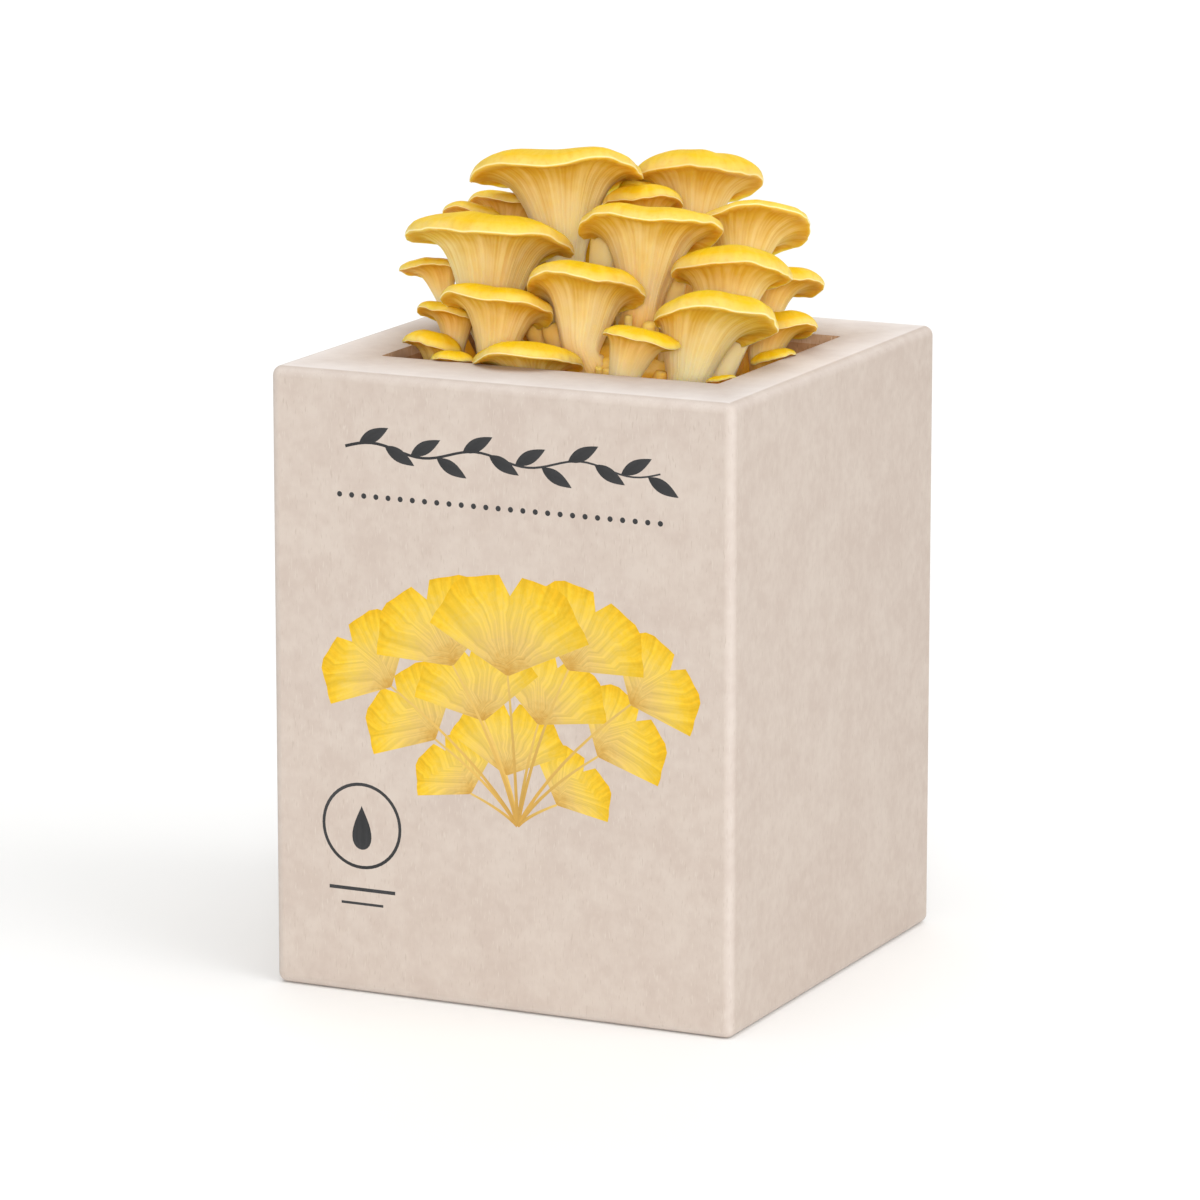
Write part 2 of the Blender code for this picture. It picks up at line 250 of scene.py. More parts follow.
def leaf_outline(middle, length, width, lean, steps=10):
    """A pointed leaf round its middle, with the way along it as its print direction."""
    along = Vector((math.sin(lean), math.cos(lean)))
    across = Vector((along.y, -along.x))
    outline = []
    for side in (1, -1):
        for j in range(steps):
            share = j / steps if side > 0 else 1 - j / steps
            bulge = math.sin(math.pi * share) ** 0.85 * (1.15 - 0.45 * share)
            aside = across * side * width / 2 * bulge
            outline.append(middle + along * length * (share - 0.5) + aside)
    return outline, middle - along * length / 2, along, length


def fan_outline(rim, size, lean):
    """A fan leaf with a wavy, notched rim, opening from its own foot."""
    along = Vector((math.sin(lean), math.cos(lean)))
    across = Vector((along.y, -along.x))
    foot = rim - along * size
    outline = [foot - across * 0.5, foot + across * 0.5]
    for j in range(FAN_STEPS + 1):
        turn = FAN_OPEN * (1 - 2 * j / FAN_STEPS)
        notch = 0.26 * math.exp(-((turn / 0.09) ** 2))
        wave = 0.03 * math.cos(turn * 11) - 0.10 * (turn / FAN_OPEN) ** 4
        reach = size * (1 + wave - notch)
        outline.append(foot + (along * math.cos(turn) + across * math.sin(turn)) * reach)
    return outline, foot, along, size


def band_outline(path, width):
    """A band along a path, which gets thinner towards its end."""
    left, right = [], []
    for j, point in enumerate(path):
        way = (path[min(len(path) - 1, j + 1)] - path[max(0, j - 1)]).normalized()
        half = width / 2 * (1.15 - 0.5 * j / (len(path) - 1))
        left.append(point + Vector((-way.y, way.x)) * half)
        right.append(point - Vector((-way.y, way.x)) * half)
    return left + right[::-1], path[0], UP, (path[-1] - path[0]).length


def disc_outline(middle, radius, steps):
    """A round spot."""
    turns = [math.tau * j / steps for j in range(steps)]
    outline = [middle + Vector((math.cos(t), math.sin(t))) * radius for t in turns]
    return outline, middle - Vector((0, radius)), UP, 2 * radius


def rectangle(left, right, low, high):
    """The corners of a rectangle, anticlockwise."""
    return [Vector(point) for point in ((left, low), (right, low), (right, high), (left, high))]


def front_print():
    """All printed shapes as (ink, outline, foot, way, length), the lowest first."""
    shapes = []
    foot = Vector(SPRAY_FOOT)
    for across, up, size, lean in FANS[::-1]:
        fan = fan_outline(Vector((across, up)), size, math.radians(lean))
        own_foot = fan[1]
        bend = Vector((foot.x * 0.7 + own_foot.x * 0.3, (foot.y + own_foot.y) / 2))
        shares = [j / 8 for j in range(9)]
        path = [foot * (1 - s) ** 2 + bend * 2 * s * (1 - s) + own_foot * s**2 for s in shares]
        shapes.append((INK_STALK, *band_outline(path, STALK_WIDTH)))
        shapes.append((INK_YELLOW, *fan))
    stem = []
    for j in range(PRINT_STEPS + 1):
        s = j / PRINT_STEPS
        across = GARLAND["left"] + (GARLAND["right"] - GARLAND["left"]) * s
        sway = GARLAND["wave"] * math.sin(s * math.tau * 3)
        stem.append(Vector((across, GARLAND["height"] + sway)))
    shapes.append((INK_DARK, *band_outline(stem, GARLAND["stem"])))
    for j in range(LEAVES["count"]):
        knot = stem[round((j + 0.5) / LEAVES["count"] * PRINT_STEPS)]
        lean = math.radians(LEAVES["lean"] if j % 2 == 0 else 180 - LEAVES["lean"])
        way = Vector((math.sin(lean), math.cos(lean)))
        middle = knot + way * LEAVES["length"] * LEAVES["off"]
        shapes.append((INK_DARK, *leaf_outline(middle, LEAVES["length"], LEAVES["width"], lean)))
    for j in range(DOTS["count"]):
        across = DOTS["left"] + (DOTS["right"] - DOTS["left"]) * j / (DOTS["count"] - 1)
        dot = disc_outline(Vector((across, DOTS["height"])), DOTS["radius"], 12)
        shapes.append((INK_DARK, *dot))
    middle = Vector((RING["across"], RING["height"]))
    shapes.append((INK_DARK, *disc_outline(middle, RING["outer"], PRINT_STEPS)))
    shapes.append((BOARD_OUT, *disc_outline(middle, RING["inner"], PRINT_STEPS)))
    drop = []
    for j in range(DROP_STEPS):
        turn = math.tau * j / DROP_STEPS
        aside = math.sin(turn) * math.sin(turn / 2) ** 1.3 * 0.82
        drop.append(middle + Vector((aside, math.cos(turn) * 1.25 - 0.1)) * RING["drop"])
    shapes.append((INK_DARK, drop, middle, UP, 12))
    for across, up, width, thick in RULES:
        ends = rectangle(across - width / 2, across + width / 2, up - thick / 2, up + thick / 2)
        shapes.append((INK_DARK, ends, ends[0], UP, thick))
    return shapes


def anticlockwise(plan, outline):
    """The outline's point numbers, in anticlockwise order."""
    order = list(outline)
    sides = zip(order, order[1:] + order[:1])
    turned = sum(plan[a].x * plan[b].y - plan[b].x * plan[a].y for a, b in sides)
    return order if turned > 0 else order[::-1]


def flat_panel(builder, layer, corners, place, shapes, plain=0):
    """Fill a flat panel whose four corner vertices exist. place puts a plan point (across,
    up) in space, and shapes are cut into the panel: the topmost one gives a face its
    slot, and a slot of None leaves a hole. Returns the vertices of each shape's outline."""
    plan = [point for point, _ in corners]
    spans = [range(len(plan))]
    for _, outline, *_ in shapes:
        spans.append(range(len(plan), len(plan) + len(outline)))
        plan.extend(outline)
    outlines = [anticlockwise(plan, span) for span in spans]
    points, _, faces, origins, _, face_origins = delaunay_2d_cdt(plan, [], outlines, 1, 1e-6, True)
    made, at = [], {}
    for point, sources in zip(points, origins):
        old = min(sources, default=len(corners))
        made.append(corners[old][1] if old < len(corners) else builder.verts.new(place(point)))
        at.update(dict.fromkeys(sources, made[-1]))
    for face, sources in zip(faces, face_origins):
        top = max(sources, default=0)
        slot, _, foot, way, length = shapes[top - 1] if top else (plain, None, None, None, 1)
        if slot is None:
            continue
        filled = builder.faces.new([made[k] for k in face])
        filled.material_index = slot
        if foot is not None:
            for loop, k in zip(filled.loops, face):
                offset = points[k] - foot
                up = offset.dot(way)
                aside = offset.x * way.y - offset.y * way.x
                loop[layer].uv = (math.atan2(aside, max(up, 1e-6)), offset.length / length)
    return [[at[k] for k in span] for span in spans[1:]]


def cut_outline(out):
    """The cut-out in plan, in mm, or an outline that far outside it: anticlockwise, with
    round corners, and with points along its sides."""
    left, right = (CUT_LEFT - out) / MM, (CUT_RIGHT + out) / MM
    front, back = (CUT_FRONT - out) / MM, (CUT_BACK + out) / MM
    radius = (CUT_CORNER + out) / MM
    outline = []
    for x, y, first, ahead in (
        (right - radius, back - radius, 0, (left + radius, back)),
        (left + radius, back - radius, 90, (left, front + radius)),
        (left + radius, front + radius, 180, (right - radius, front)),
        (right - radius, front + radius, 270, (right, back - radius)),
    ):
        for j in range(CUT_CORNER_STEPS + 1):
            turn = math.radians(first + 90 * j / CUT_CORNER_STEPS)
            outline.append(Vector((x, y)) + Vector((math.cos(turn), math.sin(turn))) * radius)
        last = outline[-1]
        outline += [last.lerp(Vector(ahead), j / FLAP_STEPS) for j in range(1, FLAP_STEPS)]
    return outline


def bridge(builder, low, high, slot=0):
    """Join two closed rings of vertices with a band of faces."""
    for corners in zip(low, low[1:] + low[:1], high[1:] + high[:1], high):
        builder.faces.new(corners).material_index = slot


def add_box(builder, low, high):
    """A plain box, to be worked on."""
    shape = Matrix.Translation((low + high) / 2) @ Matrix.Diagonal((*(high - low), 1))
    bmesh.ops.create_cube(builder, size=1, matrix=shape)


def carton_mesh():
    """The folded carton as one closed skin: outside, cavity, and the cut-out's edge."""
    builder = bmesh.new()
    layer = builder.loops.layers.uv.new("print")
    add_box(builder, CARTON_LOW, CARTON_HIGH)
    bmesh.ops.bevel(
        builder, geom=builder.edges[:], offset=FOLD_RADIUS, segments=FOLD_STEPS,
        profile=0.5, affect="EDGES",
    )
    for face in builder.faces:
        face.smooth = True
    paler_fold_and_lit_top = builder.verts.layers.float.new("fold_and_lit_top")
    middle = (CARTON_LOW + CARTON_HIGH) / 2
    core = (CARTON_HIGH - CARTON_LOW) / 2 - Vector([FOLD_RADIUS] * 3)
    for vertex in builder.verts:
        from_core = [abs(value) - inner for value, inner in zip(vertex.co - middle, core)]
        share = sorted(from_core)[1] / FOLD_RADIUS / FOLD_PALE_REACH
        vertex[paler_fold_and_lit_top] = FOLD_PALER * min(1, max(0, share))
        # Painted light: the whole top face is drawn paler.
        if vertex.co.z > CARTON_HIGH.z - 0.1 * MM:
            vertex[paler_fold_and_lit_top] = TOP_PAINTED_LIGHT

    def refill(way, shapes):
        """Fill one flat side again, with shapes cut into it. Its plan is x by height at the
        front and back, and x by y on the top and underside, in mm."""
        facing = [face for face in builder.faces if face.normal.dot(way) > 0.999]
        side = max(facing, key=lambda face: face.calc_area())
        up, out = (2, 1) if way.y else (1, 2)
        level = (CARTON_HIGH if sum(way) > 0 else CARTON_LOW)[out]
        corners = [(Vector((v.co.x, v.co[up])) / MM, v) for v in side.verts]
        builder.faces.remove(side)

        def place(point):
            spot = [point.x * MM, level, level]
            spot[up] = point.y * MM
            return spot

        return flat_panel(builder, layer, corners, place, shapes)

    def seam(way, outline):
        """Press a narrow seam into a flat side, where two edges of the sheet meet."""
        (rim,) = refill(way, [(None, outline, None, None, 1)])
        sunk = [builder.verts.new(v.co - way * SEAM_DEPTH) for v in rim]
        bridge(builder, rim, sunk, BOARD_CUT)
        builder.faces.new(sunk).material_index = BOARD_CUT

    refill(Vector((0, -1, 0)), front_print())
    hole, outside = cut_outline(0), cut_outline(FLAP_BOARD)
    (upper,) = refill(Vector((0, 0, 1)), [(None, hole, None, None, 1)])
    edge = CARTON_LOW.x / MM + SEAM_FROM_CORNER
    low, high = FOLD_RADIUS / MM + SEAM_END, (CARTON_HIGH.z - FOLD_RADIUS) / MM - SEAM_END
    seam(Vector((0, 1, 0)), rectangle(edge, edge + SEAM_WIDTH, low, high))
    reach = SIDE_FOLD / MM - SEAM_END
    seam(Vector((0, 0, -1)), rectangle(-reach, reach, -SEAM_WIDTH / 2, SEAM_WIDTH / 2))

    inner = CARTON_HIGH.x - BOARD
    low, high = CARTON_LOW.z + BOARD, CARTON_HIGH.z - BOARD
    plan = rectangle(-inner, inner, -inner, inner)
    floor, ceiling = [[builder.verts.new((*point, z)) for point in plan] for z in (low, high)]
    bridge(builder, floor, ceiling, BOARD_IN)
    builder.faces.new(floor).material_index = BOARD_IN
    corners = [(point / MM, vertex) for point, vertex in zip(plan, ceiling)]
    wider = [(None, outside, None, None, 1)]
    (lower,) = flat_panel(
        builder, layer, corners, lambda p: (p.x * MM, p.y * MM, high), wider, BOARD_IN
    )
    # The cut-out's flaps hang from its edge: cut edge, inner side, lower edge, outer side.
    rims = [upper]
    for outline, hangs in ((hole, False), (hole, True), (outside, True)):
        ring = []
        for point in outline:
            x, y = point * MM
            corner = max(0, min(x - CUT_LEFT, CUT_RIGHT - x))
            corner += max(0, min(y - CUT_FRONT, CUT_BACK - y))
            hang = FLAP_LEAST + (FLAP_DEPTH - FLAP_LEAST) * min(1, corner / FLAP_BEVEL)
            ring.append(builder.verts.new((x, y, high - hang * hangs)))
        rims.append(ring)
    rims.append(lower)
    for above, below, slot in zip(rims, rims[1:], (BOARD_CUT, BOARD_IN, BOARD_CUT, BOARD_IN)):
        bridge(builder, above, below, slot)
    bmesh.ops.recalc_face_normals(builder, faces=builder.faces)
    return finish_mesh("printed_carton", builder, smooth=False)


def finish_mesh(name, builder, smooth=True):
    """The mesh that has been built, under the name of its piece."""
    mesh = bpy.data.meshes.new(name)
    builder.to_mesh(mesh)
    builder.free()
    if smooth:
        mesh.shade_smooth()
    return mesh


def new_piece(mesh, *materials):
    for material in materials:
        mesh.materials.append(material)
    piece = bpy.data.objects.new(mesh.name, mesh)
    bpy.context.scene.collection.objects.link(piece)
    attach(piece, "root")
    return piece


carton = new_piece(
    carton_mesh(), board_outside, board_inside, board_edge, yellow_ink, stalk_ink, dark_ink
)
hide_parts("carton")


# ----------------------------------------------------------
# Substrate block: straw and sawdust pressed into the carton, damp and grown through with
# white threads. It is soft, so its upper edges have slumped, and it stands loose.
# ----------------------------------------------------------

BLOCK_LOW, BLOCK_HIGH = (Vector(corner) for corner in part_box("substrate_block"))
BLOCK_SLUMP = 6 * MM
BLOCK_LUMP = 9 * MM  # across one lump of pressed straw
BLOCK_DENT = 1.6 * MM
BLOCK_CUTS = 34
BLOCK_SEED = 5
STRAWS = 420
STRAW_LENGTH = (5 * MM, 16 * MM)
STRAW_WIDTH = (0.7 * MM, 1.5 * MM)
# A straw's section, over half its width, and its slot after that of what it lies on.
STRAW_SIDES = ((-1, 0), (-0.5, -0.9), (0.6, -0.8), (1, 0.1), (0.5, 0.9), (-0.6, 0.8))
STRAW_SLOT = 1
STRAW_TILT = 0.08
STRAW_SUNK = 0.45  # of the dents' depth
SKIRT = Vector([(b - a) / 2 for a, b in zip(*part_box("cluster_base"))])


def lumps(place, width, seed):
    """Even noise between -1 and 1, with lumps of a width in metres."""
    return noise.noise(place / width + Vector((seed * 7.3, seed * 3.1, seed * 5.7)))


def heading(turn, rise=0):
    """The way that lies at a turn from +X, and rises."""
    return Vector((math.cos(turn), math.sin(turn), rise))


def straw(builder, place, way, length, width):
    """One flattened piece of straw or wood, slightly bent, lying on a surface."""
    lift = Vector((0, 0, 1))
    aside = way.cross(lift).normalized()
    loops = []
    for share, taper in ((-0.5, 0.55), (-0.45, 1), (0, 1), (0.45, 1), (0.5, 0.55)):
        middle = place + way * length * share + lift * length * 0.05 * (1 - (2 * share) ** 2)
        half, thick = aside * width / 2 * taper, lift * width * 0.35 * taper
        loops.append([builder.verts.new(middle + half * a + thick * b) for a, b in STRAW_SIDES])
    for low, high in zip(loops, loops[1:]):
        bridge(builder, low, high, STRAW_SLOT)
    for end in (loops[0], loops[-1][::-1]):
        builder.faces.new(end).material_index = STRAW_SLOT


def block_mesh():
    """The block with slumped upper edges, dents between its lumps, and straw on top."""
    builder = bmesh.new()
    add_box(builder, BLOCK_LOW, BLOCK_HIGH)
    bmesh.ops.subdivide_edges(builder, edges=builder.edges[:], cuts=BLOCK_CUTS, use_grid_fill=True)
    core = Vector([value - BLOCK_SLUMP for value in BLOCK_HIGH])
    for vertex in builder.verts:
        place = vertex.co
        inner = Vector([max(-most, min(most, value)) for most, value in zip(core, place)])
        if place.z > core.z and (place - inner).length > BLOCK_SLUMP:
            place = inner + (place - inner).normalized() * BLOCK_SLUMP
        towards = inner if place.z > core.z else Vector((0, 0, place.z))
        dent = abs(lumps(place, BLOCK_LUMP, 1)) + 0.5 * abs(lumps(place, BLOCK_LUMP / 3, 2))
        dent *= place.z > BLOCK_LOW.z + MM
        vertex.co = place + (towards - place).normalized() * BLOCK_DENT * dent
    dice = random.Random(BLOCK_SEED)
    for _ in range(STRAWS):
        place = Vector((dice.uniform(-core.x, core.x), dice.uniform(-core.y, core.y), 0))
        if abs(place.x) < SKIRT.x and abs(place.y) < SKIRT.y:
            continue
        place.z = BLOCK_HIGH.z - BLOCK_DENT * STRAW_SUNK
        turn = dice.uniform(0, math.tau)
        way = heading(turn, dice.uniform(-STRAW_TILT, STRAW_TILT)).normalized()
        length = dice.uniform(*STRAW_LENGTH)
        ends = [place + way * length * s for s in (-0.5, 0.5)]
        if all(abs(e.x) < core.x and abs(e.y) < core.y for e in ends):
            straw(builder, place, way, length, dice.uniform(*STRAW_WIDTH))
    return finish_mesh("straw_block", builder)


def substrate_mass():
    """Damp pressed sawdust and straw: matt brown, mottled from one particle to the next,
    with white threads grown over it in patches."""
    made, tree, place = new_material("damp straw and sawdust", 0.85)
    particle_width = 2.2 * MM
    patch_width = 16 * MM
    particles = add(tree, "TexVoronoi", {"Vector": place, "Scale": 1 / particle_width}, "Color")
    shade = add(tree, "SeparateColor", {"Color": particles})
    browns = ((0.0, "#3B2818"), (0.35, "#5A3E26"), (0.7, "#7C5A38"), (1.0, "#A98456"))
    brown = add(tree, "ValToRGB", {"Fac": shade}, stops=browns)
    patches = add(tree, "TexNoise", {"Vector": place, "Scale": 1 / patch_width, "Detail": 6})
    grown = add(tree, "MapRange", (patches, 0.50, 0.66, 0, 0.85))
    mixed = add(tree, "Mix", {0: grown, 6: brown, 7: colour("#E9E0CC")}, 2, data_type="RGBA")
    return finish_material(made, mixed, particles.node.outputs["Distance"], 0.6, 0.5 * MM)


def dry_straw():
    """Cut straw: smooth, faintly glossy along its length, from pale gold to brown."""
    made, tree, place = new_material("cut straw", 0.55, specular=0.5)
    piece_width = 7 * MM
    fibre_width = 0.3 * MM
    tones = add(tree, "TexNoise", {"Vector": place, "Scale": 1 / piece_width, "Detail": 3})
    stops = ((0.3, "#7A5A34"), (0.5, "#B08A52"), (0.7, "#D6B67C"))
    shade = add(tree, "ValToRGB", {"Fac": tones}, stops=stops)
    fibres = add(tree, "TexNoise", {"Vector": place, "Scale": 1 / fibre_width, "Detail": 2})
    return finish_material(made, shade, fibres, 0.3, 0.1 * MM)


loose_straw = dry_straw()
block = new_piece(block_mesh(), substrate_mass(), loose_straw)
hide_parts("substrate_block")


# ----------------------------------------------------------
# Base of the cluster: white threads have knit the top of the block into one skirt of
# tissue. It heaps up into a knot, and runs up round the foot of every stem.
# ----------------------------------------------------------

BASE_LOW, BASE_HIGH = (Vector(corner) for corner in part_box("cluster_base"))
BASE_ROUND = 180
BASE_ROWS = 62
SIDE_ROWS = 4
SIDE_HEIGHT = 0.18  # of the skirt's side, over the whole base
SIDE_INSET, TOP_INSET = 0.8 * MM, 1.4 * MM  # of the skirt's side and top from the solid's edge
FRILL_WIDTH, FRILL_DEPTH = 3 * MM, 0.5 * MM
FILLET_HEIGHT = 2.8  # of the tissue round a foot, over the foot's radius
FILLET_REACH = 4 * MM
FILLET_MOST = 20 * MM
FILLET_FULL = 5 * MM  # tissue this high belongs to the stems alone
KNOT_LUMP = 5 * MM
KNOT_RISE = 0.8 * MM
SKIRT_SEED = 8
SKIRT_STRAWS = 120
SKIRT_COVERED = 0.93  # of the skirt's width, by straws
SKIRT_CHOPPED = 0.8  # their length over that of the block's
SKIRT_TILT = 0.15
STRAW_CLEAR = (0.3, 0.5)  # how far its middle and its ends may belong to the stems
WELD = 0.01 * MM  # vertices of a solid this close are one


def radius_of(ring):
    """The mean distance of a ring's points from their middle."""
    return np.linalg.norm(ring - ring.mean(0), axis=1).mean()


def rings_of(node):
    """The rings of vertices that a mushroom's solid is made of, from foot to cap, with the
    cap's middle. They are found from that middle outwards, where most edges meet."""
    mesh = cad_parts[node].data
    number, points, welded = {}, [], []
    for vertex in mesh.vertices:
        key = tuple(round(value / WELD) for value in vertex.co)
        if key not in number:
            number[key] = len(points)
            points.append(vertex.co.copy())
        welded.append(number[key])
    beside = [set() for _ in points]
    for edge in mesh.edges:
        a, b = (welded[v] for v in edge.vertices)
        if a != b:
            beside[a].add(b)
            beside[b].add(a)
    ends = sorted(range(len(points)), key=lambda v: len(beside[v]))[-2:]
    pole, sole = sorted(ends, key=lambda v: -points[v].z)
    upright = np.array(points[pole]) - np.array(points[sole])
    seen, front, rings = {pole, sole}, {pole}, []
    while front:
        front = {b for a in front for b in beside[a]} - seen
        seen |= front
        if front:
            rings.append(front)
    ordered = []
    for ring in rings:
        walk = [min(ring)]
        while len(walk) < len(ring):
            walk.append(min(b for b in beside[walk[-1]] & ring if b not in walk))
        loop = np.array([points[v] for v in walk])
        centred = loop - loop.mean(0)
        if np.cross(centred, np.roll(centred, -1, 0)).sum(0) @ upright < 0:
            loop = loop[::-1]
        if ordered:
            last, own = ((r - r.mean(0)) / radius_of(r) for r in (ordered[-1], loop))
            turns = [((np.roll(own, k, 0) - last) ** 2).sum() for k in range(len(own))]
            loop = np.roll(loop, int(np.argmin(turns)), 0)
        ordered.append(loop)
    return ordered[::-1], np.array(points[pole])


def solid_tree(*nodes):
    """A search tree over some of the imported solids."""
    points, faces = [], []
    for node in nodes:
        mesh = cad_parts[node].data
        start = len(points)
        points += [v.co for v in mesh.vertices]
        faces += [[start + v for v in face.vertices] for face in mesh.polygons]
    return BVHTree.FromPolygons(points, faces)


mushroom_nodes = sorted(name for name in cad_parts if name.startswith("mushroom_"))
grown_rings = {node: rings_of(node) for node in mushroom_nodes}
feet = [(Vector(rings[0].mean(0)), radius_of(rings[0])) for rings, _ in grown_rings.values()]
base_tree = solid_tree("cluster_base")


def knot_height(x, y):
    """Height of the tissue at a point, and how far it belongs to the stems, 0 to 1."""
    hit, _, _, _ = base_tree.ray_cast(Vector((x, y, BASE_HIGH.z + 10 * MM)), Vector((0, 0, -1)))
    if hit is None:
        return BASE_LOW.z, 0
    fillets = 0
    for foot, radius in feet:
        away = max(0, math.hypot(x - foot.x, y - foot.y) - radius)
        fillets += radius * FILLET_HEIGHT * math.exp(-away / FILLET_REACH)
    rise = FILLET_MOST * (1 - math.exp(-fillets / FILLET_MOST))
    place = Vector((x, y, 0))
    uneven = lumps(place, KNOT_LUMP, 3) + 0.35 * lumps(place, KNOT_LUMP / 3.5, 4)
    return hit.z + rise + uneven * KNOT_RISE, min(1, fillets / FILLET_FULL)


def base_mesh():
    """Skirt and knot, from the skirt's lower edge to the knot's middle."""
    builder = bmesh.new()
    belonging = builder.verts.layers.float.new("belonging")

    def tissue_point(x, y, height, part):
        vertex = builder.verts.new((x, y, height))
        vertex[belonging] = part
        return vertex

    ways = [heading(math.tau * j / BASE_ROUND) for j in range(BASE_ROUND)]
    level = Vector((0, 0, BASE_LOW.z + 2 * MM))
    edges = [base_tree.ray_cast(way * 0.2 + level, -way)[0].to_2d().length for way in ways]
    rings = []
    for row in range(SIDE_ROWS + BASE_ROWS):
        ring = []
        for way, edge in zip(ways, edges):
            if row < SIDE_ROWS:
                frill = lumps(way * edge, FRILL_WIDTH, 6) * FRILL_DEPTH
                reach = edge - SIDE_INSET + frill * (row > 0)
                low = BASE_LOW.z + (BASE_HIGH.z - BASE_LOW.z) * SIDE_HEIGHT * (row / SIDE_ROWS)
                ring.append(tissue_point(way.x * reach, way.y * reach, low, 0))
            else:
                reach = (edge - TOP_INSET) * (1 - (row - SIDE_ROWS) / BASE_ROWS)
                x, y = way.x * reach, way.y * reach
                ring.append(tissue_point(x, y, *knot_height(x, y)))
        rings.append(ring)
    for low, high in zip(rings, rings[1:]):
        bridge(builder, low, high)
    builder.faces.new(rings[0][::-1])
    tip = tissue_point(0, 0, *knot_height(0, 0))
    for a, b in zip(rings[-1], rings[-1][1:] + rings[-1][:1]):
        builder.faces.new((a, b, tip))
    dice = random.Random(SKIRT_SEED)
    for _ in range(SKIRT_STRAWS):
        x, y = (dice.uniform(-half, half) * SKIRT_COVERED for half in (SKIRT.x, SKIRT.y))
        _, part = knot_height(x, y)
        turn = dice.uniform(0, math.tau)
        length = dice.uniform(*STRAW_LENGTH) * SKIRT_CHOPPED
        width = dice.uniform(*STRAW_WIDTH)
        way = heading(turn, dice.uniform(-SKIRT_TILT, SKIRT_TILT)).normalized()
        ends = [knot_height(x + way.x * length * s, y + way.y * length * s) for s in (-0.5, 0.5)]
        if part > STRAW_CLEAR[0] or any(e[1] > STRAW_CLEAR[1] or e[0] <= BASE_LOW.z for e in ends):
            continue
        way.z = (ends[1][0] - ends[0][0]) / length
        place = Vector((x, y, (ends[0][0] + ends[1][0]) / 2 + 0.1 * MM))
        straw(builder, place, way.normalized(), length, width)
    return finish_mesh("cluster_tissue", builder)


def knit_tissue():
    """Mushroom tissue knit from fine threads: soft, matt and cream-white with brown
    substrate showing through at its edge, turning smooth and golden towards the stems."""
    made, tree, place = new_material(
        "knit oyster tissue", 0.6, 1.4, weight=0.4, radius=(1.0, 0.6, 0.2), scale=4 * MM
    )
    near = add(tree, "Attribute", {}, "Fac", attribute_name="belonging")
    patch_width = 7 * MM
    thread_width = 0.8 * MM
    patches = add(tree, "TexNoise", {"Vector": place, "Scale": 1 / patch_width, "Detail": 5})
    knit = {"Vector": place, "Scale": 1 / thread_width, "Detail": 4, "Distortion": 1.2}
    threads = add(tree, "TexNoise", knit)
    edge, golden = (
        add(tree, "ValToRGB", {"Fac": patches}, stops=stops)
        for stops in (
            ((0.36, "#6B4A2E"), (0.47, "#B99F78"), (0.56, "#EFE4C8")),
            ((0.3, "#DDA530"), (0.5, "#EABB48"), (0.7, "#F2D07C")),
        )
    )
    mixed = add(tree, "Mix", {0: near, 6: edge, 7: golden}, 2, data_type="RGBA")
    return finish_material(made, mixed, threads, 0.5, 0.3 * MM)


cluster_base = new_piece(base_mesh(), knit_tissue(), loose_straw)
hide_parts("cluster_base")


# ----------------------------------------------------------
# Mushrooms: each grown as one piece. A thin, waxy cap rolls over at its margin, and
# thin gills run from the margin down onto the stem, which stands in the common base.
# ----------------------------------------------------------

GILL_PITCH = 1.5 * MM  # between gills at the margin
GILL_SAMPLES = 4
GILL_RISE = 0.17 * MM  # of a gill's edge over the flesh between two gills, on a wide cap
# Gills in turn: the mark on the stem where each ends, and its strength.
GILLS = ((0.55, 1.0), (1.42, 0.7), (1.12, 0.85), (1.42, 0.7))
GILL_SECTION = (1.0, 0.45, -0.12)  # of its height, from its edge to beside it
WIDE = 26 * MM  # half the width of the widest caps
# Uneven forms, as in the widest mushroom: folds under the cap, the margin's ripples up and
# down and its reach in and out, fibres of the stem, and dents of the cap.
FOLDS = 0.6 * MM
RIPPLE = 0.36 * MM
REACH = 0.30 * MM
FIBRES = 0.06 * MM
DENTS = 0.55 * MM
DROOP = 3.2 * MM  # of the margin's far side, as in the widest
DROOP_FROM = 0.35  # over half the width, this side of the middle
FAR_SIDE = np.array((-0.43, 0.90, 0.0))  # the way from the light
FOOT_DEPTH = 2.0 * MM  # of the stem in the base
FOOT_MARK = -0.05
# Small mushrooms are more golden below than wide ones: sizes are over the widest.
YOUNG_FROM, YOUNG_FULL = 0.8, 0.35
YOUNG_GOLD = 0.6
# Painted shade: flesh that others stand close to is drawn a deeper golden, by the shares of the
# directions in which they are near.
NEAR = 35 * MM
PAINTED_SHADE_FROM, PAINTED_SHADE_FULL = 0.25, 0.85
NO_PAINTED_SHADE = ("mushroom_01",)  # the tallest, whose stem gets no painted shade though others are near
# Painted shade: how golden the feet of some are drawn, where light comes through the flesh round
# them.
FEET_PAINTED_SHADE = {"mushroom_05": 1.0, "mushroom_09": 0.6, "mushroom_13": 0.5}
LOOKS = 40  # directions looked in
LOOK_FROM = 0.6 * MM  # off the skin
LOOK_SPREAD = 0.98  # under 1, so that none turns back into the skin
# Steps between two rings of the solid, from foot to neck, over the gills, and over the cap.
STEM_STEPS = (4, 4)
GILL_STEPS = (3, 3, 4, 5, 5)
CAP_STEPS = (4, 4, 4, 3)
# The same rings' places along the skin: 0 foot, 1 neck, 2 margin, 3 middle of the cap.
RING_MARKS = (0, 0.5, 1, 1.17, 1.32, 1.48, 1.74, 2, 2.1, 2.35, 2.7, 3)
MARGIN_RING = 7
NEAR_MARGIN = ((1.5, 0), (1.9, 0.6), (2.0, 1), (2.1, 0.75), (2.4, 0.1), (2.6, 0))


def smooth_round(ring, count):
    """A closed ring of points made finer, through the same points."""
    waves = np.fft.rfft(ring, axis=0)
    waves[-1] *= 0.5
    return np.fft.irfft(waves, count, axis=0) * count / len(ring)


